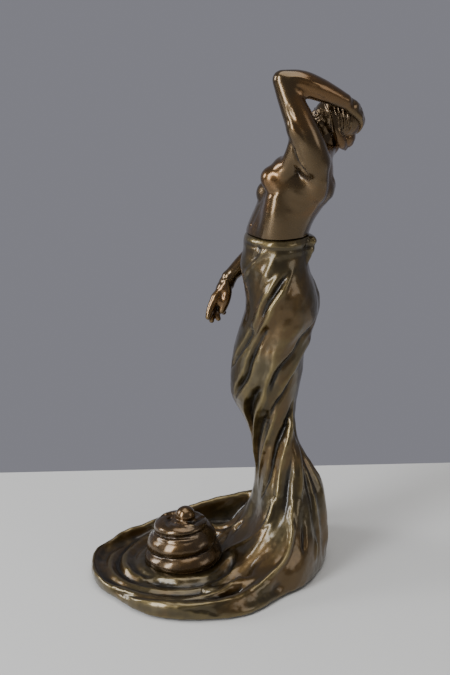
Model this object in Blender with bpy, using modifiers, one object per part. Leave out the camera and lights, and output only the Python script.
"""Bronze figural inkstand: a draped woman whose skirt runs down into a swirling dish.

The coiled mound in the dish is the hinged lid of an ink well.  The figure is an assembly of
hollow castings, split the way a founder splits them and joined with dowels, a spigot and a
stud; every one of them, the pot, the lid and its hinge is an object of its own.

Metres, +Z up.  The woman faces -X, the open side of the dish is towards -Y, and the origin is
under the middle of the whole object, on the surface that it stands on.
"""

import math

import bmesh
import bpy
import numpy as np
from mathutils import Matrix, Vector

MM = 0.001
TURN = 2 * math.pi

# Driving dimensions, in millimetres.  The modelling frame has its origin under the open dish;
# ORIGIN moves everything so that the object's own box stands on the world's origin.
ORIGIN = Vector((1.2, 5.9, 0.0))
GAP = 0.3
WALL = 3.4
WEB = 3.6
REACH = 400

SKIRT_AXIS = (24.0, 8.0)
WAIST_Z = 162.0
FOOT_Z = 38.0

MOUND = Vector((-20.0, -8.0, 0.0))
FLOOR_Z = 4.0
SEAT_Z = 6.7
SEAT_RADIUS = 20.0
LID_BOTTOM_Z = SEAT_Z + GAP
LID_TOP_Z = 27.2
LID_PITCH = 8.6
LID_RIDGE = 1.3
# The lid's plain outline, without its coil: height and radius.
LID_OUTLINE = ((7, 18.2), (10, 18.2), (15, 17.0), (19, 15.6), (24, 12.4), (26, 9), (27.2, 3.2))
KNOB_RADIUS = 3.9
KNOB_Z = 29.7
COLLAR_RADII = (12.5, 14.2)
COLLAR_TOP_Z = 11.5
POT_RADIUS = 12.2
POT_TOP_Z = 17.5

# The lid's hinge, measured from the mound's centre towards the back.
HINGE = MOUND + Vector((0, 20.6, 8.8))
KNUCKLE_RADIUS = 1.7
HINGE_PIN_RADIUS = 0.8
HINGE_PLAY = 0.1
LEAF_WIDTH = 13.0
STRAP_WIDTH = 5.2
RIVET_RADIUS = 0.6

TIE_RADIUS = 2.0
TIE_TOP_Z = 176.0
DOWEL_RADIUS = 1.1
DOWEL_HALF = 5.0

# Where the castings part: a point and the direction out of the torso.
NECK = (Vector((44.6, 7.8, 203.0)), Vector((0.42, 0.03, 0.9)))
LEFT_SHOULDER = (Vector((35.8, -13.4, 205.0)), Vector((-0.4, 0.03, 0.92)))
RIGHT_SHOULDER = (Vector((29.3, 30.4, 176.5)), Vector((-0.22, 0.3, -0.93)))

# Colour and surface of each finish: base colour, metallic, roughness.
FINISHES = {
    "bronze_cloth": ((0.24, 0.165, 0.07), 1.0, 0.34),
    "bronze_skin": ((0.27, 0.16, 0.07), 1.0, 0.28),
    "brass_fitting": ((0.48, 0.34, 0.13), 1.0, 0.35),
    "steel_pin": ((0.45, 0.44, 0.42), 1.0, 0.4),
    "pot_glass": ((0.75, 0.85, 0.82), 0.0, 0.08),
}


# ---------------------------------------------------------------------------- scene helpers


def clear_scene():
    for old in list(bpy.data.objects):
        bpy.data.objects.remove(old)


def collection(name):
    made = bpy.data.collections.new(name)
    bpy.context.scene.collection.children.link(made)
    return made


def finish(name):
    """The Principled material of that name, made once."""
    if name in bpy.data.materials:
        return bpy.data.materials[name]
    colour, metallic, roughness = FINISHES[name]
    made = bpy.data.materials.new(name)
    made.use_nodes = True
    shader = made.node_tree.nodes["Principled BSDF"]
    shader.inputs["Base Color"].default_value = (*colour, 1)
    shader.inputs["Metallic"].default_value = metallic
    shader.inputs["Roughness"].default_value = roughness
    return made


def new_object(name, mesh, where):
    made = bpy.data.objects.new(name, mesh)
    where.objects.link(made)
    return made


def mesh_object(name, shape, where):
    """An object from a bmesh in millimetres; its mesh is in metres."""
    bmesh.ops.scale(shape, vec=(MM, MM, MM), verts=shape.verts)
    mesh = bpy.data.meshes.new(name)
    shape.to_mesh(mesh)
    shape.free()
    return new_object(name, mesh, where)


def guide(thing):
    thing.hide_render = True
    thing.display_type = "WIRE"
    return thing


def evaluated_mesh(thing):
    """The object's mesh as its modifiers leave it."""
    graph = bpy.context.evaluated_depsgraph_get()
    return bpy.data.meshes.new_from_object(thing.evaluated_get(graph))


# ---------------------------------------------------------------------------- solid shapes


def aim(direction):
    """The rotation that turns +Z to the direction."""
    return Vector(direction).to_track_quat("Z", "Y").to_matrix().to_4x4()


def ball(shape, centre, radii, turn=0.0, tilt=0.0, sides=20):
    """Adds an ellipsoid.  turn is about Z and tilt about Y, in degrees."""
    place = Matrix.Translation(Vector(centre))
    place @= Matrix.Rotation(math.radians(turn), 4, "Z")
    place @= Matrix.Rotation(math.radians(tilt), 4, "Y")
    place @= Matrix.Diagonal((*radii, 1))
    bmesh.ops.create_uvsphere(
        shape, u_segments=sides, v_segments=sides // 2, radius=1, matrix=place
    )


def smooth_curve(keys, values, at):
    """A curve through values at rising keys with monotone (Fritsch-Carlson) slopes."""
    keys, values, at = (np.asarray(a, float) for a in (keys, values, at))
    step = np.diff(keys)
    rise = np.diff(values) / step
    slope = np.zeros(len(keys))
    slope[0], slope[-1] = rise[0], rise[-1]
    same = rise[:-1] * rise[1:] > 0
    slope[1:-1][same] = 2 * (rise[:-1] * rise[1:])[same] / (rise[:-1] + rise[1:])[same]
    k = np.clip(np.searchsorted(keys, at) - 1, 0, len(step) - 1)
    t = (at - keys[k]) / step[k]
    a = (1 + 2 * t) * (1 - t) ** 2 * values[k] + t**2 * (3 - 2 * t) * values[k + 1]
    b = t * (1 - t) ** 2 * slope[k] + t**2 * (t - 1) * slope[k + 1]
    return a + b * step[k]


def through(points, count):
    """count points along a smooth curve through the given ones."""
    points = np.asarray(points, float)
    run = np.concatenate([[0], np.cumsum(np.linalg.norm(np.diff(points, axis=0)[:, :3], axis=1))])
    at = np.linspace(0, run[-1], count)
    return np.stack([smooth_curve(run, column, at) for column in points.T], axis=1)


def skin(shape, rings):
    """Adds a closed body that joins rings of equally many points and caps both ends."""
    rows = [[shape.verts.new(p) for p in ring] for ring in rings]
    count = len(rows[0])
    for low, high in zip(rows, rows[1:]):
        for i in range(count):
            j = (i + 1) % count
            shape.faces.new((low[i], low[j], high[j], high[i]))
    shape.faces.new(rows[0][::-1])
    shape.faces.new(rows[-1])


def limb(shape, points, steps=5, sides=12, flat=1.0):
    """Adds a tapered round limb through points (x, y, z, radius), with rounded ends."""
    path = through(points, steps * (len(points) - 1) + 1)
    centres = [Vector(p[:3]) for p in path]
    rings = []
    side = None
    for i, here in enumerate(centres):
        along = centres[min(i + 1, len(path) - 1)] - centres[max(i - 1, 0)]
        along.normalize()
        if side is None:
            side = along.orthogonal().normalized()
        side = (side - along * side.dot(along)).normalized()
        up = along.cross(side)
        radius = path[i][3]
        angles = [TURN * k / sides for k in range(sides)]
        rings.append(
            [here + side * math.cos(a) * radius + up * math.sin(a) * radius * flat for a in angles]
        )
    skin(shape, rings)
    for end in (path[0], path[-1]):
        ball(shape, end[:3], (end[3] * 0.98,) * 3, sides=12)


def cylinder(name, base, direction, radius, length, where, sides=24):
    """A plain round bar from base along direction."""
    shape = bmesh.new()
    middle = Vector(base) + Vector(direction).normalized() * length / 2
    bmesh.ops.create_cone(
        shape,
        cap_ends=True,
        segments=sides,
        radius1=radius,
        radius2=radius,
        depth=length,
        matrix=Matrix.Translation(middle) @ aim(direction),
    )
    return mesh_object(name, shape, where)


def box(name, low, high, where):
    shape = bmesh.new()
    low, high = Vector(low), Vector(high)
    place = Matrix.Translation((low + high) / 2) @ Matrix.Diagonal((*(high - low), 1))
    bmesh.ops.create_cube(shape, size=1, matrix=place)
    return mesh_object(name, shape, where)


def beyond(name, point, direction, reach, where):
    """A cube whose near face lies at the point, facing against the direction."""
    shape = bmesh.new()
    middle = Vector(point) + Vector(direction).normalized() * reach / 2
    place = Matrix.Translation(middle) @ aim(direction)
    bmesh.ops.create_cube(shape, size=reach, matrix=place)
    return mesh_object(name, shape, where)


def turned(name, outline, centre, where, sides=36):
    """A turned body about a vertical axis; the outline (radius, z) runs down its outer side."""
    shape = bmesh.new()
    corners = [shape.verts.new((r * MM, 0, z * MM)) for r, z in outline]
    for a, b in zip(corners, corners[1:] + corners[:1]):
        shape.edges.new((a, b))
    mesh = bpy.data.meshes.new(name)
    shape.to_mesh(mesh)
    shape.free()
    made = new_object(name, mesh, where)
    made.location = (centre[0] * MM, centre[1] * MM, 0)
    spin = made.modifiers.new("turn", "SCREW")
    spin.axis = "Z"
    spin.steps = spin.render_steps = sides
    spin.use_merge_vertices = True
    spin.merge_threshold = 0.00001
    return made


def combine(thing, other, operation):
    """Adds a Boolean with the other object, which becomes a guide."""
    cut = thing.modifiers.new(other.name, "BOOLEAN")
    cut.operation = operation
    cut.object = guide(other)
    return thing


def fused(name, shape, where, voxel, smoothing, triangles):
    """One closed skin over overlapping clay forms, smoothed and thinned to so many triangles."""
    clay = mesh_object(name + "_clay", shape, where)
    remesh = clay.modifiers.new("fuse", "REMESH")
    remesh.mode = "VOXEL"
    remesh.voxel_size = voxel * MM
    smooth = clay.modifiers.new("smooth", "SMOOTH")
    smooth.factor = 0.5
    smooth.iterations = smoothing
    found = sum(len(face.vertices) - 2 for face in evaluated_mesh(clay).polygons)
    thin = clay.modifiers.new("thin", "DECIMATE")
    thin.ratio = min(1.0, triangles / found)
    made = new_object(name, evaluated_mesh(clay), where)
    bpy.data.objects.remove(clay)
    return made


# ---------------------------------------------------------------------------- drapery

# Radii of the drapery about SKIRT_AXIS at rising heights, in eight directions: front, front
# near, near, back near, back, back far, far and front far.  Front is -X and near is -Y.
DRAPERY = (
    (0.0, (30, 40, 43, 29, 26, 31, 38, 34)),
    (9.0, (25, 31, 42, 29, 26, 31, 38, 28)),
    (15.0, (20, 23, 38, 28.5, 25.8, 30.5, 36, 22)),
    (22.0, (15.5, 15.5, 31, 27, 25.2, 29, 32, 16)),
    (30.0, (12, 12, 24, 25, 24.2, 27, 28, 13)),
    (38.0, (10.2, 10.5, 19.5, 22, 22.6, 23.5, 23.5, 11.5)),
    (47.0, (9.6, 10, 16.5, 18, 18, 18, 18, 10.5)),
    (56.0, (10.4, 10.5, 14, 14.5, 13, 14, 14.5, 11)),
    (64.0, (12, 11.5, 13, 12, 10.4, 12, 13.5, 12)),
    (72.0, (14.6, 13.5, 13.5, 11, 9, 11, 14, 14)),
    (80.0, (19.2, 17, 14.5, 11, 9.8, 11.5, 15, 17)),
    (87.0, (21.6, 20, 16, 12, 11, 12.5, 16.5, 20)),
    (96.0, (21.4, 20.5, 17.5, 13.5, 12.6, 14, 18, 20.5)),
    (106.0, (20.2, 20, 19.5, 15.5, 13, 16, 20, 20)),
    (116.0, (17.6, 18.5, 21.5, 18.5, 16.4, 19, 22, 18.5)),
    (127.0, (14.4, 17, 23.5, 21.5, 19.3, 22, 23.5, 17)),
    (136.0, (15, 17, 23, 20.5, 17.8, 20.5, 23, 17)),
    (147.0, (17.2, 17.5, 20.5, 17, 14.2, 17, 20.5, 18)),
    (157.0, (14.8, 15.6, 18.4, 15.6, 13.0, 15.8, 18.6, 16)),
    (166.0, (13.8, 15, 17.6, 15, 13, 15.2, 17.8, 15)),
)


def drapery_radius(angle, height, inset=0.0):
    """Radius of the drapery in a direction, counted from the front round by the near side."""
    heights = [row[0] for row in DRAPERY]
    columns = [[row[1][k] for row in DRAPERY] for k in range(8)]
    around = [smooth_curve(heights, column, [height])[0] for column in columns]
    turns = angle / TURN * 8
    low = math.floor(turns)
    t = turns - low
    a, b, c, d = (around[(low + k) % 8] for k in (-1, 0, 1, 2))
    spline = b + t * ((c - a) + t * ((2 * a - 5 * b + 4 * c - d) + t * (3 * (b - c) + d - a))) / 2
    return spline - inset


def drapery_ring(height, sides, inset=0.0):
    ring = []
    for k in range(sides):
        angle = TURN * k / sides
        r = drapery_radius(angle, height, inset)
        x, y = SKIRT_AXIS
        ring.append((x - r * math.cos(angle), y - r * math.sin(angle), height))
    return ring


def drapery_column(shape, heights, sides, inset=0.0):
    """Adds the draped column between the lowest and the highest of the heights."""
    skin(shape, [drapery_ring(z, sides, inset) for z in heights])


# The dish's outline as (angle in degrees about MOUND, radius), anticlockwise from +X.
DISH_OUTLINE = (
    (-177, 44), (-164, 43.5), (-151, 43), (-140, 42), (-126, 43.5), (-112, 46.5), (-100, 48.5),
    (-88, 49.5), (-75, 51), (-64, 53), (-53, 54), (-40, 53.5), (-23, 56), (-7, 62), (3, 68),
    (17, 72), (34, 73), (47, 66), (57, 56.5), (66, 50), (78, 44.5), (98, 39), (119, 35.5),
    (140, 37), (158, 41), (172, 43.5),
)  # fmt: skip


def dish_radius(degrees):
    angles = np.array([a for a, _ in DISH_OUTLINE], float)
    radii = np.array([r for _, r in DISH_OUTLINE], float)
    angles = np.concatenate([angles - 360, angles, angles + 360])
    radii = np.tile(radii, 3)
    return float(smooth_curve(angles, radii, [degrees])[0])


def on_dish(degrees, radius, height):
    """A point at an angle and radius about the mound."""
    a = math.radians(degrees)
    return Vector((MOUND[0] + radius * math.cos(a), MOUND[1] + radius * math.sin(a), height))


def sheet(shape, start, end, radii, heights, thickness, steps=40):
    """Adds a standing fold of cloth about the mound, from the floor up to its rolled edge."""
    share = np.linspace(0, 1, steps)
    rings = []
    for s in share:
        a = start + (end - start) * s
        r, top, half = (
            float(smooth_curve(np.linspace(0, 1, len(track)), track, [s])[0])
            for track in (radii, heights, (thickness, thickness))
        )
        profile = ((half, -6), (half, 2), (half * 1.3, top * 0.5), (half * 0.9, top), (-half * 0.9, top),
                   (-half * 1.3, top * 0.5), (-half * 2.2, 3), (-half * 3, -6))  # fmt: skip
        rings.append([on_dish(a, r + out, z) for out, z in profile])
    skin(shape, rings)


def slab(shape, bottom, top, sides=72):
    """Adds the dish's floor slab, rounded over at its top edge."""
    angles = [360 * k / sides for k in range(sides)]
    levels = ((bottom, 0.0), (top - 1.5, 0.0), (top - 0.4, 0.6), (top, 2.0))
    skin(shape, [[on_dish(a, dish_radius(a) - pull, z) for a in angles] for z, pull in levels])


def spiral(shape, start, end, radii, heights, thickness, steps=26):
    """Adds a rolled fold that winds about the mound from one angle to another, in degrees.

    radii, heights and thickness are each a few values, spread evenly along the fold.
    """
    share = np.linspace(0, 1, steps)
    tracks = [
        smooth_curve(np.linspace(0, 1, len(track)), track, share)
        for track in (radii, heights, thickness)
    ]
    points = []
    for k, s in enumerate(share):
        place = on_dish(start + (end - start) * s, tracks[0][k], tracks[1][k])
        points.append((*place, tracks[2][k]))
    limb(shape, points, steps=1, sides=10)


def drapery_clay():
    """Every form of the cloth, from the waist to the dish's rim."""
    shape = bmesh.new()
    drapery_column(shape, np.linspace(0, WAIST_Z + 4, 54), 56)
    # The sash round the waist, and its knot at the back.
    belt = ((154.6, 0.6), (155.6, -0.6), (158.5, -1.2), (161.4, -0.6), (165, 0.4))
    skin(shape, [drapery_ring(z, 40, inset) for z, inset in belt])
    ball(shape, (38.2, 3, 159.6), (3.2, 4.6, 3.0), turn=20)
    ball(shape, (38.2, 7.5, 158.6), (2.6, 3.6, 2.6), turn=-25)
    limb(shape, ((37.8, 4, 158, 2.2), (36.8, 3.2, 153.5, 2), (36.0, 3, 149, 1.2)), steps=3)
    slab(shape, -6, FLOOR_Z)
    # The dish's wall, from behind the figure round the back and the left to the front.
    sheet(
        shape, 44, 226,
        (63.5, 49.5, 40.5, 36, 39, 42, 42, 40.5),
        (22.5, 16, 12, 9.6, 8.2, 7.4, 6.2, 5),
        1.5, steps=60,
    )  # fmt: skip
    spiral(
        shape, 44, 226,
        (64, 50, 41, 36.3, 39.4, 42.4, 42.4, 41),
        (21.5, 15.4, 11.5, 9.2, 7.7, 7, 5.7, 4.6),
        (2.5, 2.2, 2.0, 1.9, 1.9, 1.9, 1.8, 1.6),
        steps=60,
    )  # fmt: skip
    spiral(shape, 222, 318, (41, 41, 42.5, 40, 36), (4.8, 5.6, 6.4, 7, 9), (1.6, 1.7, 1.9, 2, 2.4))
    # The front fold: from the left front along the front edge, then up the figure's near side.
    spiral(
        shape, 216, 312,
        (39.5, 41.5, 44.5, 47, 48, 47.5),
        (3.6, 4.6, 5.4, 5.6, 5.8, 6.4),
        (2, 2.8, 3.1, 3.2, 3.2, 3),
    )  # fmt: skip
    limb(shape, ((9, -45, 5.8, 3.2), (19, -36.5, 8.5, 3.4), (26.5, -26.5, 15, 3.6), (31, -16.5, 26, 3.8),
                 (33, -8.5, 40, 3.6), (33.5, -5.5, 54, 3)), steps=4)  # fmt: skip
    # Folds that run from the shins down into the dish and round the mound.
    spiral(shape, 8, -150, (36, 29, 26.5, 26, 26.5), (13, 6.5, 4.6, 4.2, 3.6), (5, 3.6, 2.4, 2, 1.2))
    spiral(shape, 22, 96, (36, 33, 31.5, 30), (14, 8.5, 6, 4.6), (4.6, 3.4, 2.6, 1.8))
    spiral(shape, 70, 205, (37, 30.5, 27.5, 27.5), (7, 5.4, 4.8, 4.2), (2.6, 2.2, 2, 1.6))
    # The seat of the well: a low round pad, with an ear behind it for the hinge.
    for centre, radius in ((MOUND, SEAT_RADIUS + 2), (HINGE * Vector((1, 1, 0)), 10.5)):
        bmesh.ops.create_cone(
            shape,
            cap_ends=True,
            segments=40,
            radius1=radius + 1,
            radius2=radius,
            depth=SEAT_Z + 2,
            matrix=Matrix.Translation((centre.x, centre.y, SEAT_Z / 2 - 0.5)),
        )
    return shape


def foot_core(where):
    """The hollow inside the foot of the drapery."""
    shape = bmesh.new()
    levels = ((-10, 13), (5, 10), (10, 7), (16, 5.6), (22, 5.6), (30, 5.6), (FOOT_Z - WEB, 5.6))
    skin(shape, [drapery_ring(z, 40, inset) for z, inset in levels])
    return mesh_object("foot_core", shape, where)


def underside(where):
    """The shallow recess under the dish, inside its foot ring."""
    shape = bmesh.new()
    angles = [360 * k / 48 for k in range(48)]
    low = [on_dish(a, dish_radius(a) - 5.5, -8) for a in angles]
    high = [on_dish(a, dish_radius(a) - 7, 1.2) for a in angles]
    skin(shape, [low, high])
    return mesh_object("underside", shape, where)


def level_space(name, low_z, high_z, where):
    return box(name, (-REACH, -REACH, low_z), (REACH, REACH, high_z), where)


def rod_hole(name, low_z, high_z, where):
    """The cutter for the tie rod's clearance hole between two heights."""
    radius = TIE_RADIUS + GAP
    return cylinder(name, (*SKIRT_AXIS, low_z), (0, 0, 1), radius, high_z - low_z, where)


def build_base(cloth, parts, guides):
    """The dish casting: dish, well and the foot of the drapery up to FOOT_Z."""
    base = new_object("base_dish", cloth.data.copy(), parts)
    base.data.materials.append(finish("bronze_cloth"))
    combine(base, level_space("under_table", -REACH, 0, guides), "DIFFERENCE")
    combine(base, level_space("over_foot", FOOT_Z - GAP / 2, REACH, guides), "DIFFERENCE")
    combine(base, underside(guides), "DIFFERENCE")
    combine(base, foot_core(guides), "DIFFERENCE")
    seat_space = ((SEAT_RADIUS, 40), (SEAT_RADIUS, SEAT_Z), (0, SEAT_Z), (0, 40))
    combine(base, turned("seat_space", seat_space, MOUND, guides), "DIFFERENCE")
    low = HINGE + Vector((-LEAF_WIDTH / 2 - 1.5, -8, 0))
    high = HINGE + Vector((LEAF_WIDTH / 2 + 1.5, 9, 0))
    low.z, high.z = SEAT_Z, 30
    combine(base, box("hinge_space", low, high, guides), "DIFFERENCE")
    collar = ((COLLAR_RADII[1], COLLAR_TOP_Z), (COLLAR_RADII[1], 0.8), (0, 0.8), (0, COLLAR_TOP_Z))
    combine(base, turned("collar", collar, MOUND, guides), "UNION")
    bore = ((COLLAR_RADII[0], 30), (COLLAR_RADII[0], 3.2), (0, 3.2), (0, 30))
    combine(base, turned("well_bore", bore, MOUND, guides, 40), "DIFFERENCE")
    combine(base, rod_hole("tie_hole", 20, 60, guides), "DIFFERENCE")
    return base


def build_skirt(cloth, parts, guides):
    """The skirt casting: a hollow column, open below, with a web under the waist."""
    skirt = new_object("skirt", cloth.data.copy(), parts)
    skirt.data.materials.append(finish("bronze_cloth"))
    combine(skirt, level_space("under_foot", -REACH, FOOT_Z + GAP / 2, guides), "DIFFERENCE")
    combine(skirt, level_space("over_waist", WAIST_Z - GAP / 2, REACH, guides), "DIFFERENCE")
    shape = bmesh.new()
    heights = (FOOT_Z - 8, 44, 52, 60, 68, 78, 90, 102, 114, 126, 138, 148, WAIST_Z - WEB)
    drapery_column(shape, heights, 40, inset=WALL)
    combine(skirt, mesh_object("skirt_core", shape, guides), "DIFFERENCE")
    combine(skirt, rod_hole("waist_hole", 150, 180, guides), "DIFFERENCE")
    return skirt


# ---------------------------------------------------------------------------- figure

# The trunk's sections: height, centre x and y, half depth, half width, turn to the near side.
TRUNK = (
    (155, 23.4, 7.8, 13.8, 17.2, 8),
    (162, 23.6, 7.6, 13.8, 17.3, 12),
    (169, 26.2, 7.2, 14.4, 17.4, 16),
    (176, 30.2, 6.8, 15.0, 18.6, 18),
    (183, 32.6, 6.4, 14.8, 20.0, 18),
    (190, 34.2, 6.6, 12.6, 20.4, 18),
    (195, 36.6, 6.8, 9.6, 18.0, 18),
    (199, 39.2, 7.2, 7.4, 12.0, 15),
    (203, 41.4, 7.6, 6.0, 7.0, 10),
)
NECK_LIMB = ((40.5, 7.4, 195, 7.6), (44.6, 7.8, 203, 6.6), (48, 8, 209, 6.0))
LEFT_UPPER_ARM = (
    (38.5, -11.5, 196, 7.6),
    (35.6, -13, 205, 7.0),
    (31.2, -13, 215.5, 6.7),
    (26.6, -12, 224, 6.2),
    (24.2, -11, 230, 5.0),
)
LEFT_FOREARM = (
    (24.2, -11, 230, 5.0),
    (32, -9.5, 228.4, 5.7),
    (41, -7, 225.4, 4.7),
    (51.5, -2.5, 221.2, 3.3),
)
LEFT_HAND = (
    (51.5, -2.5, 221.2, 3.3),
    (57, 1, 217.6, 3.9),
    (59.2, 6, 212.5, 4.1),
    (57.6, 9.5, 207.5, 3.0),
)
RIGHT_UPPER_ARM = (
    (31, 26, 184.5, 7.2),
    (30, 29.5, 178.5, 6.5),
    (27, 33, 169, 5.8),
    (25, 36, 158, 5.0),
    (23.5, 36.5, 152, 4.8),
)
RIGHT_FOREARM = (
    (23.5, 36.5, 152, 4.8),
    (16.5, 33.5, 148.5, 5.0),
    (9.5, 29, 143, 4.2),
    (3.6, 25.5, 138.4, 3.4),
)
RIGHT_HAND = (
    (3.6, 25.5, 138.4, 3.4),
    (-1.6, 24, 133, 4.9),
    (-4.6, 23.4, 126.5, 4.6),
    (-7.2, 23, 116.5, 2.0),
)


def trunk_ring(section, sides=36):
    z, x, y, depth, width, turn = section
    t = math.radians(turn)
    forward = Vector((-math.cos(t), -math.sin(t), 0))
    left = Vector((math.sin(t), -math.cos(t), 0))
    ring = []
    for k in range(sides):
        a = TURN * k / sides
        ring.append(Vector((x, y, z)) + forward * depth * math.cos(a) + left * width * math.sin(a))
    return ring


def build_torso(parts, guides):
    shape = bmesh.new()
    heights = np.linspace(TRUNK[0][0], TRUNK[-1][0], 20)
    columns = np.array(TRUNK, float).T
    tracks = [smooth_curve(columns[0], column, heights) for column in columns[1:]]
    sections = np.stack([heights] + tracks, axis=1)
    skin(shape, [trunk_ring(section) for section in sections])
    for centre, radii in (
        ((22.4, -5.2, 187.2), (7.4, 7.4, 7.6)),
        ((19.6, 9.4, 181.8), (7.0, 7.2, 7.2)),
        ((41.5, -1.5, 183), (8.0, 9.5, 8.0)),
        ((39.0, 15.0, 182), (7.5, 8.5, 8.5)),
    ):
        ball(shape, centre, radii)
    limb(shape, NECK_LIMB, steps=3, sides=16)
    limb(shape, ((44, 6, 200, 5.6), (41.5, -3, 199, 6.4), (38.5, -11, 197, 6.6)), steps=4)
    limb(shape, ((43.5, 9, 199, 5.6), (38, 18, 193, 6), (31.5, 25, 186, 6.4)), steps=4)
    limb(shape, LEFT_UPPER_ARM[:3], steps=4, sides=16)
    limb(shape, RIGHT_UPPER_ARM[:3], steps=4, sides=16)
    torso = fused("torso", shape, parts, 1.1, 7, 1300)
    torso.data.materials.append(finish("bronze_skin"))
    combine(torso, level_space("under_waist", -REACH, WAIST_Z + GAP / 2, guides), "DIFFERENCE")
    for name, (point, out), radius in (
        ("neck", NECK, 11),
        ("left_shoulder", LEFT_SHOULDER, 11),
        ("right_shoulder", RIGHT_SHOULDER, 7.6),
    ):
        start = point + out.normalized() * GAP / 2
        combine(torso, cylinder(name + "_space", start, out, radius, 22, guides), "DIFFERENCE")
        combine(torso, dowel_hole(name, point, out, guides), "DIFFERENCE")
    combine(torso, rod_hole("torso_bore", 150, TIE_TOP_Z + 1, guides), "DIFFERENCE")
    return torso


def dowel_hole(name, point, out, guides):
    """The cutter for a dowel's bore, centred on the parting plane."""
    if name + "_bore" in bpy.data.objects:
        return bpy.data.objects[name + "_bore"]
    half = DOWEL_HALF + GAP
    start = point - out.normalized() * half
    return cylinder(name + "_bore", start, out, DOWEL_RADIUS + GAP, 2 * half, guides, 16)


def part_off(thing, name, plane, guides, reach=60):
    """Cuts away the torso's side of a parting plane, and bores the dowel's hole."""
    point, out = plane
    face = point + out.normalized() * GAP / 2
    combine(thing, beyond(name + "_face", face, -out, reach, guides), "DIFFERENCE")
    combine(thing, dowel_hole(name, point, out, guides), "DIFFERENCE")


def build_head(parts, guides):
    """Head, neck and gathered hair; the raised hand lies in a hollow of the hair."""
    shape = bmesh.new()
    limb(shape, NECK_LIMB, steps=3, sides=16)
    ball(shape, (49.2, 8, 212.4), (11.6, 9.4, 11.0), tilt=-28)
    ball(shape, (45.2, 8, 209.6), (8.0, 7.2, 9.4), tilt=-28)
    ball(shape, (37.8, 8, 213.6), (2.0, 1.6, 1.4), tilt=-28)
    ball(shape, (41.4, 8, 205.4), (2.6, 3.0, 2.4))
    ball(shape, (51.4, 8, 211.6), (9.8, 10.4, 10.6), tilt=-20)
    ball(shape, (53.6, 9.5, 206.8), (5.4, 6.6, 5.0), tilt=20)
    head = fused("head", shape, parts, 1.0, 4, 1000)
    head.data.materials.append(finish("bronze_skin"))
    part_off(head, "neck", NECK, guides, 24)
    rest = bmesh.new()
    limb(rest, [(x, y, z, r + GAP + 0.35) for x, y, z, r in LEFT_HAND], steps=5, sides=16)
    hollow = fused("hand_rest", rest, guides, 0.8, 2, 260)
    combine(head, hollow, "DIFFERENCE")
    return head


def hand_limbs(shape, route, spread, curl):
    """Adds four fingers and a thumb along a hand's route (wrist, palm, knuckles, tips)."""
    wrist, palm, knuckles, tips = (Vector(p[:3]) for p in route)
    for k in range(4):
        side = spread * (k - 1.5)
        start = palm.lerp(knuckles, 0.6) + side * 0.9
        middle = knuckles.lerp(tips, 0.35) + side * 1.15
        end = tips + side * 1.3 + curl * abs(k - 1.0)
        limb(shape, ((*start, 1.7), (*middle, 1.35), (*end, 1.0)), steps=3, sides=8)
    thumb = palm - spread * 1.6
    root = wrist.lerp(palm, 0.5)
    tip = thumb.lerp(knuckles, 0.9)
    limb(shape, ((*root, 2.0), (*thumb, 1.7), (*tip, 1.1)), steps=3, sides=8)


def build_arms(parts, guides):
    shape = bmesh.new()
    limb(shape, LEFT_UPPER_ARM, steps=5, sides=16)
    limb(shape, LEFT_FOREARM, steps=5, sides=16)
    limb(shape, LEFT_HAND, steps=5, sides=16, flat=0.8)
    left = fused("left_arm", shape, parts, 1.0, 3, 800)
    left.data.materials.append(finish("bronze_skin"))
    part_off(left, "left_shoulder", LEFT_SHOULDER, guides)

    shape = bmesh.new()
    limb(shape, RIGHT_UPPER_ARM, steps=5, sides=16)
    limb(shape, RIGHT_FOREARM, steps=5, sides=16)
    limb(shape, [(x, y, z, r * 0.8) for x, y, z, r in RIGHT_HAND[:3]], steps=5, sides=12)
    hand_limbs(shape, RIGHT_HAND, Vector((0.9, 1.9, 0.4)), Vector((0.4, 0, 0.9)))
    right = fused("right_arm", shape, parts, 0.9, 2, 1200)
    right.data.materials.append(finish("bronze_skin"))
    part_off(right, "right_shoulder", RIGHT_SHOULDER, guides)
    return left, right


def build_dowels(parts):
    for name, (point, out) in (
        ("neck_pin", NECK),
        ("left_shoulder_pin", LEFT_SHOULDER),
        ("right_shoulder_pin", RIGHT_SHOULDER),
    ):
        start = point - out.normalized() * DOWEL_HALF
        pin = cylinder(name, start, out, DOWEL_RADIUS, 2 * DOWEL_HALF, parts, 16)
        pin.data.materials.append(finish("steel_pin"))


def build_tie(parts, guides):
    """The rod that draws torso, skirt and dish together, with its washer and nut."""
    web_z = FOOT_Z - WEB
    rod_z = web_z - 8
    rod = cylinder("tie_rod", (*SKIRT_AXIS, rod_z), (0, 0, 1), TIE_RADIUS, TIE_TOP_Z - rod_z, parts)
    rod.data.materials.append(finish("steel_pin"))
    hole = rod_hole("tie_clearance", 20, 40, guides)
    washer = cylinder("tie_washer", (*SKIRT_AXIS, web_z - GAP - 1), (0, 0, 1), 4.4, 1, parts)
    nut = cylinder("tie_nut", (*SKIRT_AXIS, web_z - 2 * GAP - 5), (0, 0, 1), 4.2, 4, parts, 6)
    for ring in (washer, nut):
        ring.data.materials.append(finish("steel_pin"))
        combine(ring, hole, "DIFFERENCE")


# ---------------------------------------------------------------------------- ink well


def lid_radius(angle, z):
    """The coiled mound: a domed envelope with a ridge that climbs round it like a screw."""
    envelope = smooth_curve(*zip(*LID_OUTLINE), [z])[0]
    fade = min(1.0, (LID_TOP_Z - z) / 3.0)
    wave = math.cos(TURN * ((z - 9.5) / LID_PITCH - angle / TURN))
    return envelope + LID_RIDGE * fade * (wave - 0.6)


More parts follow.
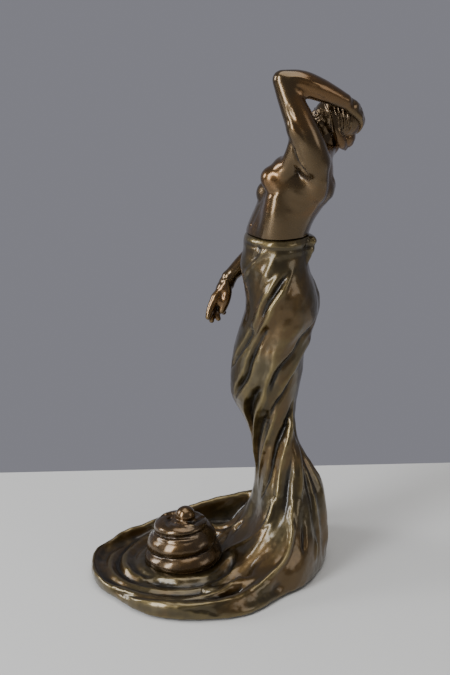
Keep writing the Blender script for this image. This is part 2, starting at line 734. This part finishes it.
def build_lid(parts, guides):
    rings = []
    sides = 32
    for z in np.concatenate([np.linspace(LID_BOTTOM_Z, 25, 12), [26.2, LID_TOP_Z]]):
        ring = []
        for k in range(sides):
            angle = TURN * k / sides
            r = lid_radius(angle, z)
            ring.append(MOUND + Vector((r * math.cos(angle), r * math.sin(angle), z)))
        rings.append(ring)
    shape = bmesh.new()
    skin(shape, rings)
    lid = mesh_object("lid", shape, parts)
    lid.data.materials.append(finish("bronze_cloth"))
    knob = bmesh.new()
    ball(knob, MOUND + Vector((0, 0, KNOB_Z)), (KNOB_RADIUS,) * 3, sides=20)
    combine(lid, mesh_object("knob", knob, guides), "UNION")
    inside = ((7, 22.4), (11.6, 20.4), (13.0, 15.5), (15.2, 12.5), (15.2, 5), (0, 5), (0, 22.4))
    combine(lid, turned("lid_hollow", inside, MOUND, guides), "DIFFERENCE")
    half = STRAP_WIDTH / 2 + GAP
    low = HINGE + Vector((-half, -3.6, -4))
    high = HINGE + Vector((half, 6, 6.3))
    combine(lid, box("strap_space", low, high, guides), "DIFFERENCE")
    for k in (0, 1):
        hole = strap_rivet_bar(f"lid_rivet_hole_{k + 1}", k, RIVET_RADIUS + GAP, guides, -6.2)
        combine(lid, hole, "DIFFERENCE")
    return lid


def strap_rivet_bar(name, k, radius, where, start=-5.8):
    """A bar through the strap and into the lid's wall; k counts from the lower rivet."""
    place = HINGE + Vector((0, start, 1.7 + 2.4 * k))
    return cylinder(name, place, (0, 1, 0), radius, -1.9 - start, where, 12)


def knuckles(name, spans, where):
    """Round barrels about the hinge's axis, one for each span (x from, x to)."""
    for k, (low, high) in enumerate(spans):
        start = HINGE + Vector((low, 0, 0))
        yield cylinder(f"{name}_{k}", start, (1, 0, 0), KNUCKLE_RADIUS, high - low, where, 20)


def build_hinge(parts, guides):
    half = LEAF_WIDTH / 2
    inner = STRAP_WIDTH / 2
    bore_start = HINGE - Vector((half + 2, 0, 0))
    bore_radius = HINGE_PIN_RADIUS + HINGE_PLAY
    bore = cylinder("hinge_bore", bore_start, (1, 0, 0), bore_radius, LEAF_WIDTH + 4, guides, 16)

    seat = SEAT_Z - HINGE.z + GAP
    low = HINGE + Vector((-half, 2.2, seat))
    high = HINGE + Vector((half, 8, seat + 1.2))
    leaf = box("base_hinge_leaf", low, high, parts)
    leaf.data.materials.append(finish("brass_fitting"))
    spans = ((-half, -inner - GAP), (inner + GAP, half))
    for barrel, (left, right) in zip(knuckles("base_knuckle", spans, guides), spans):
        combine(leaf, barrel, "UNION")
        low = HINGE + Vector((left, 0, seat + 0.1))
        high = HINGE + Vector((right, 3, seat + 1.1))
        combine(leaf, box(barrel.name + "_web", low, high, guides), "UNION")
    combine(leaf, bore, "DIFFERENCE")
    for k, x in enumerate((-3.8, 3.8)):
        place = HINGE + Vector((x, 5.6, seat - 3.2))
        screw = cylinder(f"base_hinge_screw_{k + 1}", place, (0, 0, 1), RIVET_RADIUS, 4.8, parts, 12)
        screw.data.materials.append(finish("brass_fitting"))
        place.z -= GAP
        radius = RIVET_RADIUS + GAP
        hole = cylinder(f"screw_hole_{k + 1}", place, (0, 0, 1), radius, 8, guides, 12)
        combine(leaf, hole, "DIFFERENCE")
        combine(bpy.data.objects["base_dish"], hole, "DIFFERENCE")

    low = HINGE + Vector((-inner, -3.3, -1.2))
    high = HINGE + Vector((inner, -2.2, 6))
    strap = box("lid_hinge_leaf", low, high, parts)
    strap.data.materials.append(finish("brass_fitting"))
    for barrel in knuckles("lid_knuckle", ((-inner, inner),), guides):
        combine(strap, barrel, "UNION")
    low = HINGE + Vector((-inner, -3, -1.1))
    high = HINGE + Vector((inner, 0, 0.9))
    combine(strap, box("strap_web", low, high, guides), "UNION")
    combine(strap, bore, "DIFFERENCE")
    for k in (0, 1):
        rivet = strap_rivet_bar(f"lid_hinge_rivet_{k + 1}", k, RIVET_RADIUS, parts)
        rivet.data.materials.append(finish("brass_fitting"))
        combine(strap, bpy.data.objects[f"lid_rivet_hole_{k + 1}"], "DIFFERENCE")

    start = HINGE - Vector((half, 0, 0))
    pin = cylinder("hinge_pin", start, (1, 0, 0), HINGE_PIN_RADIUS, LEAF_WIDTH, parts, 16)
    pin.data.materials.append(finish("steel_pin"))


def build_pot(parts):
    """The glass ink pot, a cup with a narrower neck above the collar."""
    outline = (
        (POT_RADIUS - 2.4, POT_TOP_Z), (POT_RADIUS - 0.8, POT_TOP_Z), (POT_RADIUS - 0.8, COLLAR_TOP_Z + 0.6),
        (POT_RADIUS, COLLAR_TOP_Z), (POT_RADIUS, 3.5), (0, 3.5), (0, 5.6), (POT_RADIUS - 3.2, 5.6),
        (POT_RADIUS - 2.4, 6.4),
    )  # fmt: skip
    pot = turned("ink_pot", outline, MOUND, parts, 40)
    pot.data.materials.append(finish("pot_glass"))


# ---------------------------------------------------------------------------- assembly


def centre_on_world():
    """Moves every object so that the assembly's box stands centred on the world's origin."""
    for thing in bpy.data.objects:
        thing.location += ORIGIN * MM


def build_main():
    clear_scene()
    parts = collection("bronze_inkstand")
    guides = collection("cutters_and_guides")
    cloth = guide(fused("cloth", drapery_clay(), guides, 1.4, 4, 5600))
    build_base(cloth, parts, guides)
    build_skirt(cloth, parts, guides)
    build_torso(parts, guides)
    build_head(parts, guides)
    build_arms(parts, guides)
    build_dowels(parts)
    build_tie(parts, guides)
    build_lid(parts, guides)
    build_pot(parts)
    build_hinge(parts, guides)
    centre_on_world()


build_main()
